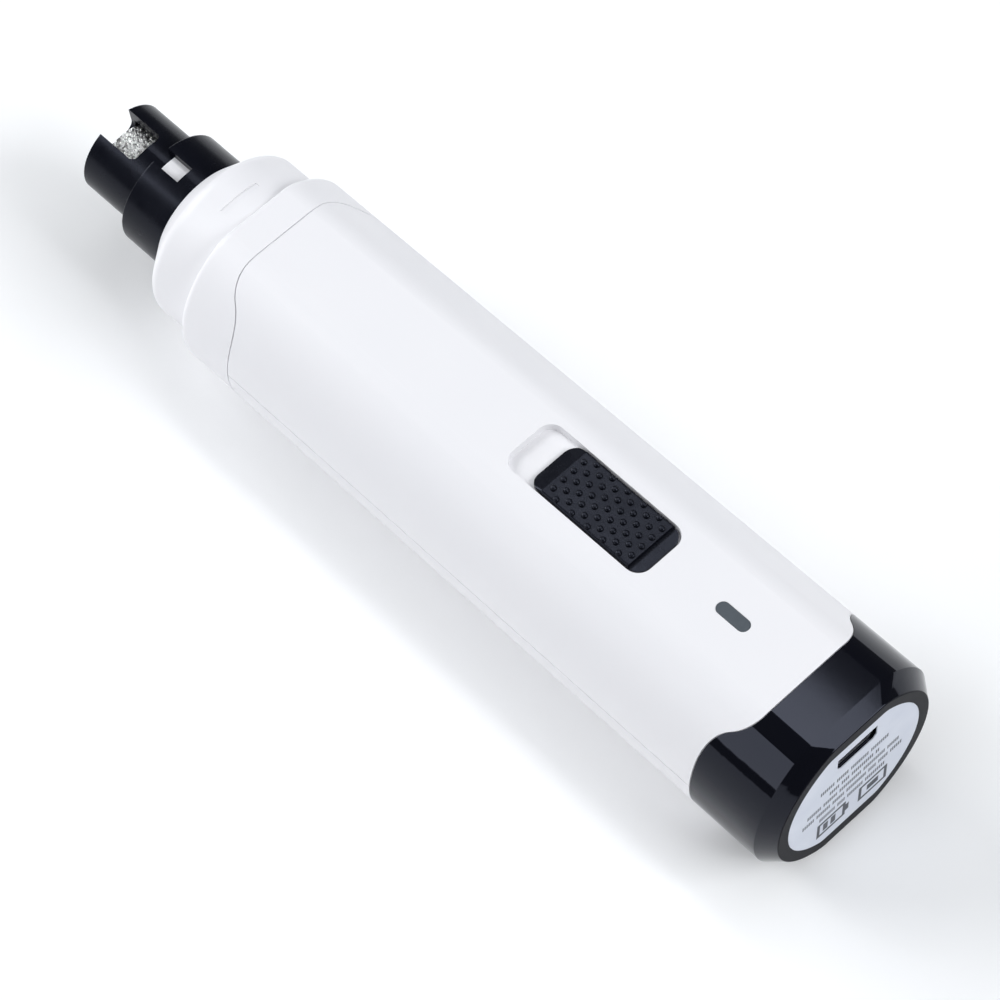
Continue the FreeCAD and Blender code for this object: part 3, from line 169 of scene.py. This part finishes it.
class Surface:
    """A Principled material that detail is added to, one layer at a time."""

    def __init__(self, name, colour, roughness, metallic=0.0):
        self.material = bpy.data.materials.new(name)
        self.material.use_nodes = True
        self.tree = self.material.node_tree
        self.shader = self.tree.nodes["Principled BSDF"]
        self.colour = colour
        self.shader.inputs["Base Color"].default_value = (*colour, 1.0)
        self.shader.inputs["Roughness"].default_value = roughness
        self.shader.inputs["Metallic"].default_value = metallic
        self.place = self.tree.nodes.new("ShaderNodeTexCoord").outputs["Object"]
        self.normal = None

    def link(self, source, target):
        self.tree.links.new(source, target)

    def stretched(self, stretch):
        """Object coordinates scaled, so a pattern can run along one axis."""
        mapping = self.tree.nodes.new("ShaderNodeMapping")
        mapping.inputs["Scale"].default_value = stretch
        self.link(self.place, mapping.inputs["Vector"])
        return mapping.outputs["Vector"]

    def noise(self, size, detail=3.0, stretch=None):
        """Noise whose features are about size metres across."""
        node = self.tree.nodes.new("ShaderNodeTexNoise")
        node.inputs["Scale"].default_value = 1.0 / size
        node.inputs["Detail"].default_value = detail
        self.link(self.stretched(stretch) if stretch else self.place, node.inputs["Vector"])
        return node.outputs["Fac"]

    def cells(self, size):
        """Distance to the nearest cell middle, for cells about size metres across."""
        node = self.tree.nodes.new("ShaderNodeTexVoronoi")
        node.inputs["Scale"].default_value = 1.0 / size
        self.link(self.place, node.inputs["Vector"])
        return node.outputs["Distance"]

    def along_x(self):
        """Place along the body, in metres."""
        node = self.tree.nodes.new("ShaderNodeSeparateXYZ")
        self.link(self.place, node.inputs["Vector"])
        return node.outputs["X"]

    def waves(self, size, axis="X", distortion=0.0):
        """Bands size metres apart, across the given axis."""
        node = self.tree.nodes.new("ShaderNodeTexWave")
        node.bands_direction = axis
        node.inputs["Scale"].default_value = WAVE_SCALE / size
        node.inputs["Distortion"].default_value = distortion
        self.link(self.place, node.inputs["Vector"])
        return node.outputs["Fac"]

    def ranged(self, source, low, high, start=0.3, end=0.7):
        """Values from start to end, stretched to run from low to high."""
        node = self.tree.nodes.new("ShaderNodeMapRange")
        node.inputs["From Min"].default_value = start
        node.inputs["From Max"].default_value = end
        node.inputs["To Min"].default_value = low
        node.inputs["To Max"].default_value = high
        self.link(source, node.inputs["Value"])
        return node.outputs["Result"]

    def vary_colour(self, source, other, start=0.3, end=0.7):
        """Blend from the base colour to the other one."""
        mix = self.tree.nodes.new("ShaderNodeMix")
        mix.data_type = "RGBA"
        mix.inputs["A"].default_value = (*self.colour, 1.0)
        mix.inputs["B"].default_value = (*other, 1.0)
        previous = self.shader.inputs["Base Color"].links
        if previous:
            self.link(previous[0].from_socket, mix.inputs["A"])
        self.link(self.ranged(source, 0.0, 1.0, start, end), mix.inputs["Factor"])
        self.link(mix.outputs["Result"], self.shader.inputs["Base Color"])

    def vary_roughness(self, source, low, high, start=0.3, end=0.7):
        self.link(self.ranged(source, low, high, start, end), self.shader.inputs["Roughness"])

    def bump(self, source, depth):
        """Relief of the given depth in metres."""
        node = self.tree.nodes.new("ShaderNodeBump")
        node.inputs["Strength"].default_value = 1.0
        node.inputs["Distance"].default_value = depth
        self.link(source, node.inputs["Height"])
        if self.normal:
            self.link(self.normal, node.inputs["Normal"])
        self.normal = node.outputs["Normal"]
        self.link(self.normal, self.shader.inputs["Normal"])


END_FACE_X = CAD_BOX[1][0] - 0.05 * MM
END_FACE_BAND = 0.1 * MM           # the polish fades to dull over this length
GLOSS_ROUGHNESS = 0.055
GLOSS_SPECULAR = 0.3
DULL_ROUGHNESS = 0.4
DULL_SPECULAR = 0.06
BLACK_TINT = (0.74, 0.79, 1.0, 1.0)


def white_shell():
    surface = Surface("white_shell", (0.85, 0.843, 0.866), 0.4)
    surface.vary_colour(surface.noise(30 * MM, 2.0), (0.865, 0.855, 0.875))
    surface.vary_roughness(surface.noise(9 * MM, 4.0), 0.36, 0.46)
    surface.bump(surface.noise(0.35 * MM, 2.0), 0.004 * MM)
    return surface.material


def black_plastic(name, colour, other, roughness, specular, grain, relief):
    """Black moulding whose reflections are faintly blue."""
    surface = Surface(name, colour, roughness)
    surface.vary_colour(surface.noise(10 * MM, 3.0), other)
    surface.vary_roughness(surface.noise(3 * MM, 5.0), roughness * 0.85, roughness * 1.2)
    surface.bump(surface.noise(grain, 3.0), relief)
    surface.shader.inputs["Specular IOR Level"].default_value = specular
    surface.shader.inputs["Specular Tint"].default_value = BLACK_TINT
    return surface


def black_gloss():
    """Polished all round, dull on the end face that the label is stuck to."""
    surface = black_plastic("black_gloss", (0.0024, 0.0026, 0.0048), (0.0034, 0.0037, 0.006),
                            GLOSS_ROUGHNESS, GLOSS_SPECULAR, 1.5 * MM, 0.0006 * MM)
    x = surface.along_x()
    end_face = (END_FACE_X - END_FACE_BAND, END_FACE_X)
    surface.vary_roughness(x, GLOSS_ROUGHNESS, DULL_ROUGHNESS, *end_face)
    specular = surface.ranged(x, GLOSS_SPECULAR, DULL_SPECULAR, *end_face)
    surface.link(specular, surface.shader.inputs["Specular IOR Level"])
    return surface.material


def black_satin():
    return black_plastic("black_satin", (0.0026, 0.003, 0.0056), (0.0038, 0.0042, 0.0072),
                         0.24, 0.19, 0.4 * MM, 0.003 * MM).material


def black_matte():
    surface = black_plastic("black_matte", (0.0028, 0.0032, 0.0056), (0.0045, 0.005, 0.008),
                            0.26, 0.3, 0.5 * MM, 0.003 * MM)
    surface.bump(surface.cells(0.16 * MM), 0.004 * MM)
    return surface.material


def label_film():
    surface = Surface("label_film", (0.56, 0.59, 0.67), 0.5)
    surface.vary_colour(surface.noise(6 * MM, 3.0), (0.62, 0.65, 0.72))
    surface.bump(surface.noise(0.2 * MM, 2.0), 0.004 * MM)
    return surface.material


def metal(name, colour, other, roughness, grain, axis_stretch=(0.05, 1.0, 1.0)):
    surface = Surface(name, colour, roughness, 1.0)
    lines = surface.noise(grain, 4.0, axis_stretch)
    surface.vary_colour(surface.noise(3 * MM, 3.0), other)
    surface.vary_roughness(lines, roughness * 0.8, roughness * 1.3)
    surface.bump(lines, 0.006 * MM)
    return surface.material


def diamond_grit():
    surface = Surface("diamond_grit", (0.8, 0.8, 0.79), 0.3, 1.0)
    surface.vary_colour(surface.noise(0.35 * MM, 2.0), (0.96, 0.96, 0.94), 0.45, 0.6)
    surface.vary_colour(surface.cells(0.4 * MM), (0.25, 0.245, 0.24), 0.45, 0.8)
    surface.vary_roughness(surface.noise(0.3 * MM, 2.0), 0.22, 0.5)
    surface.bump(surface.noise(0.12 * MM, 2.0), 0.02 * MM)
    return surface.material


def bronze():
    surface = Surface("bronze", (0.62, 0.42, 0.2), 0.45, 1.0)
    surface.vary_colour(surface.noise(0.4 * MM, 3.0), (0.5, 0.33, 0.16))
    surface.bump(surface.cells(0.15 * MM), 0.008 * MM)
    return surface.material


def felt():
    surface = Surface("felt", (0.62, 0.61, 0.57), 0.95)
    surface.vary_colour(surface.noise(0.5 * MM, 5.0), (0.5, 0.49, 0.45))
    surface.bump(surface.noise(0.15 * MM, 5.0), 0.06 * MM)
    surface.shader.inputs["Sheen Weight"].default_value = 0.4
    return surface.material


def plastic(name, colour, other, roughness, grain=0.3):
    surface = Surface(name, colour, roughness)
    surface.vary_colour(surface.noise(5 * MM, 3.0), other)
    surface.vary_roughness(surface.noise(2 * MM, 3.0), roughness * 0.9, roughness * 1.15)
    surface.bump(surface.noise(grain * MM, 3.0), 0.005 * MM)
    return surface.material


def ferrite():
    surface = Surface("ferrite", (0.1, 0.1, 0.105), 0.7)
    surface.vary_colour(surface.noise(0.6 * MM, 4.0), (0.16, 0.16, 0.165))
    surface.bump(surface.noise(0.2 * MM, 4.0), 0.02 * MM)
    return surface.material


def laminated_steel():
    surface = Surface("core_steel", (0.36, 0.37, 0.39), 0.4, 1.0)
    sheets = surface.waves(0.5 * MM)
    surface.vary_colour(sheets, (0.2, 0.2, 0.21), 0.1, 0.4)
    surface.bump(sheets, 0.03 * MM)
    return surface.material


def copper_wire():
    surface = Surface("copper_wire", (0.72, 0.33, 0.14), 0.28, 1.0)
    turns = surface.waves(0.3 * MM, "Y")
    surface.vary_colour(turns, (0.35, 0.13, 0.05), 0.05, 0.4)
    surface.bump(turns, 0.08 * MM)
    return surface.material


def green_board():
    surface = Surface("green_board", (0.02, 0.19, 0.075), 0.3)
    tracks = surface.waves(1.3 * MM, "Y", 4.0)
    surface.vary_colour(tracks, (0.03, 0.26, 0.11), 0.45, 0.55)
    surface.bump(tracks, 0.02 * MM)
    return surface.material


def smoke_lens():
    surface = Surface("smoke_lens", (0.035, 0.049, 0.064), 0.25)
    surface.vary_colour(surface.noise(2 * MM, 2.0), (0.041, 0.056, 0.072))
    surface.bump(surface.noise(0.4 * MM, 2.0), 0.002 * MM)
    return surface.material


def make_materials():
    return {
        "white_shell": white_shell(),
        "black_gloss": black_gloss(),
        "black_satin": black_satin(),
        "black_matte": black_matte(),
        "label_film": label_film(),
        "label_ink": plastic("label_ink", (0.035, 0.04, 0.055), (0.05, 0.055, 0.07), 0.5, 0.1),
        "bright_steel": metal("bright_steel", (0.7, 0.7, 0.71), (0.6, 0.6, 0.62), 0.22, 0.3 * MM,
                              (1.0, 0.05, 0.05)),
        "plated_steel": metal("plated_steel", (0.66, 0.67, 0.69), (0.52, 0.53, 0.56), 0.3, 0.4 * MM),
        "diamond_grit": diamond_grit(),
        "bronze": bronze(),
        "felt": felt(),
        "nylon_white": plastic("nylon_white", (0.75, 0.75, 0.7), (0.69, 0.69, 0.63), 0.5),
        "ferrite": ferrite(),
        "core_steel": laminated_steel(),
        "copper_wire": copper_wire(),
        "grey_rubber": plastic("grey_rubber", (0.07, 0.075, 0.08), (0.1, 0.105, 0.11), 0.75, 0.2),
        "cell_winding": metal("cell_winding", (0.3, 0.3, 0.31), (0.2, 0.2, 0.21), 0.5, 0.3 * MM),
        "cell_wrap": plastic("cell_wrap", (0.03, 0.12, 0.36), (0.04, 0.15, 0.42), 0.25),
        "green_board": green_board(),
        "chip_black": plastic("chip_black", (0.02, 0.02, 0.022), (0.035, 0.035, 0.038), 0.5, 0.15),
        "smoke_lens": smoke_lens(),
        "wire_red": plastic("wire_red", (0.5, 0.03, 0.02), (0.42, 0.025, 0.018), 0.4),
    }


def dress_cad_nodes(materials):
    slots = {entry["node"]: entry["material_slot"] for entry in frame["record"]["subparts"]}
    for name, node in frame["nodes"].items():
        node.data.materials.clear()
        node.data.materials.append(materials[slots[name]])


# ---- grinding drum: a sleeve of plated grit --------------------------------------------------
GRIT_SEED = 7
GRIT_CELL = 0.36 * MM              # mean width of a grain
GRIT_DEPTH = 0.22 * MM             # from the tallest grain to the plating between grains
GRIT_STEP = 0.1 * MM
SLEEVE_WALL = 0.5 * MM
SLEEVE_EDGE = 0.1 * MM             # the grit thins out at both ends
GRAIN_LOWEST = 0.35                # deepest grain top, as a share of the grit depth
LEAN_SHARE = 0.3
CRACK_SHARE = 0.55
CRACK_WIDTH = 0.35 * GRIT_CELL


def new_piece(name, points, faces, material):
    mesh = bpy.data.meshes.new(name)
    mesh.from_pydata(points, [], faces)
    mesh.update()
    mesh.materials.append(material)
    piece = bpy.data.objects.new(name, mesh)
    bpy.context.scene.collection.objects.link(piece)
    return piece


def grain_heights(radius, length, columns, rows, draw):
    """Depth below the outer radius at each grid point, as facetted grains packed side by side."""
    girth = 2 * math.pi * radius
    count = int(girth * length / GRIT_CELL ** 2)
    grains = []
    for _ in range(count):
        grains.append((draw.uniform(0, girth), draw.uniform(0, length),
                       draw.uniform(-0.5, 0.5), draw.uniform(-0.5, 0.5), draw.uniform(0.0, GRAIN_LOWEST)))
    wraps = (0.0, -girth, girth)
    tree = KDTree(len(grains) * len(wraps))
    for number, wrap in enumerate(wraps):
        for index, grain in enumerate(grains):
            tree.insert((grain[0] + wrap, grain[1], 0.0), number * len(grains) + index)
    tree.balance()
    depths = []
    for row in range(rows + 1):
        along = length * row / rows
        for column in range(columns):
            around = girth * column / columns
            (near, index, reach), (_, _, reach_next) = tree.find_n((around, along, 0.0), 2)
            _, _, lean_around, lean_along, low = grains[index % len(grains)]
            lean = (lean_around * (around - near[0]) + lean_along * (along - near[1])) / GRIT_CELL
            crack = max(0.0, 1.0 - (reach_next - reach) / CRACK_WIDTH)
            depth = GRIT_DEPTH * (low + LEAN_SHARE * (lean + 0.5) + CRACK_SHARE * crack)
            depths.append(min(max(depth, 0.0), GRIT_DEPTH))
    return depths


def grit_drum(material):
    low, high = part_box("grit_sleeve")
    centre_y = (low[1] + high[1]) / 2
    radius = min(high[1] - low[1], high[2] - low[2]) / 2
    bore = radius - SLEEVE_WALL
    length = high[0] - low[0]
    columns = int(2 * math.pi * radius / GRIT_STEP)
    rows = int(length / GRIT_STEP)
    depths = grain_heights(radius, length, columns, rows, random.Random(GRIT_SEED))

    def ring_point(x, r, column):
        turn = 2 * math.pi * column / columns
        return (x, centre_y + r * math.sin(turn), AXIS_Z + r * math.cos(turn))

    points = []
    for row in range(rows + 1):
        x = low[0] + length * row / rows
        edge = SLEEVE_EDGE * (row in (0, rows))
        for column in range(columns):
            points.append(ring_point(x, radius - depths[row * columns + column] - edge, column))
    for x in (high[0], low[0]):
        points.extend(ring_point(x, bore, column) for column in range(columns))
    rings = rows + 3
    faces = []
    for ring in range(rings):
        for column in range(columns):
            after = (column + 1) % columns
            ring_after = (ring + 1) % rings
            faces.append((ring * columns + column, ring * columns + after,
                          ring_after * columns + after, ring_after * columns + column))
    piece = new_piece("grit_surface", points, faces, material)
    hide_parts("grit_sleeve")
    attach(piece, "spindle")


# ---- printing on the label: rows of plain strokes and two plain outlines ---------------------
PRINT_SEED = 3
PRINT_FRONT = 0.012 * MM           # how far the ink stands off the label
# (height above the spindle axis, half length of the row), in millimetres
PRINT_ROWS = [(3.9, 7.2), (1.75, 5.2), (-0.3, 9.7), (-2.35, 10.6), (-4.5, 6.9)]
STROKE_HEIGHT = 1.0
STROKE_WIDTH = 0.24
STROKE_PITCH = 0.42
WORD_STROKES = (4, 11)
# two framed signs: (y0, y1, z0, z1) in millimetres
SIGN_FRAMES = [(-7.2, -1.2, -10.0, -5.9), (1.6, 7.6, -10.0, -5.9)]
SIGN_WEIGHT = 0.6
SIGN_FILLS = [
    (-1.2, -0.5, -8.9, -7.0),
    (-5.9, -4.9, -9.0, -6.9),
    (-4.3, -3.3, -9.0, -6.9),
    (3.4, 5.8, -8.7, -7.2),
]


def block(points, faces, x0, x1, y0, y1, z0, z1):
    """Add one upright block."""
    first = len(points)
    for x in (x0, x1):
        points.extend([(x, y0, z0), (x, y1, z0), (x, y1, z1), (x, y0, z1)])
    for a, b, c, d in ((3, 2, 1, 0), (4, 5, 6, 7), (0, 1, 5, 4), (1, 2, 6, 5), (2, 3, 7, 6), (3, 0, 4, 7)):
        faces.append((first + a, first + b, first + c, first + d))


def print_rectangles():
    """Every printed rectangle as (y0, y1, z0, z1) in millimetres from the spindle axis."""
    draw = random.Random(PRINT_SEED)
    rectangles = []
    for height, half in PRINT_ROWS:
        y = -half
        left_in_word = draw.randint(*WORD_STROKES)
        while y < half - STROKE_WIDTH:
            rectangles.append((y, y + STROKE_WIDTH, height - STROKE_HEIGHT / 2, height + STROKE_HEIGHT / 2))
            left_in_word -= 1
            y += STROKE_PITCH
            if left_in_word == 0:
                y += STROKE_PITCH
                left_in_word = draw.randint(*WORD_STROKES)
    weight = SIGN_WEIGHT
    for y0, y1, z0, z1 in SIGN_FRAMES:
        rectangles.append((y0, y1, z0, z0 + weight))
        rectangles.append((y0, y1, z1 - weight, z1))
        rectangles.append((y0, y0 + weight, z0 + weight, z1 - weight))
        rectangles.append((y1 - weight, y1, z0 + weight, z1 - weight))
    return rectangles + SIGN_FILLS


def label_print(material):
    low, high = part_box("tail_label")
    centre_y = (low[1] + high[1]) / 2
    points = []
    faces = []
    for y0, y1, z0, z1 in print_rectangles():
        block(points, faces, high[0], high[0] + PRINT_FRONT, centre_y + y0 * MM, centre_y + y1 * MM,
              AXIS_Z + z0 * MM, AXIS_Z + z1 * MM)
    piece = new_piece("label_print", points, faces, material)
    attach(piece, "housing")


make_camera()
make_stage()
MATERIALS = make_materials()
dress_cad_nodes(MATERIALS)
grit_drum(MATERIALS["diamond_grit"])
label_print(MATERIALS["label_ink"])
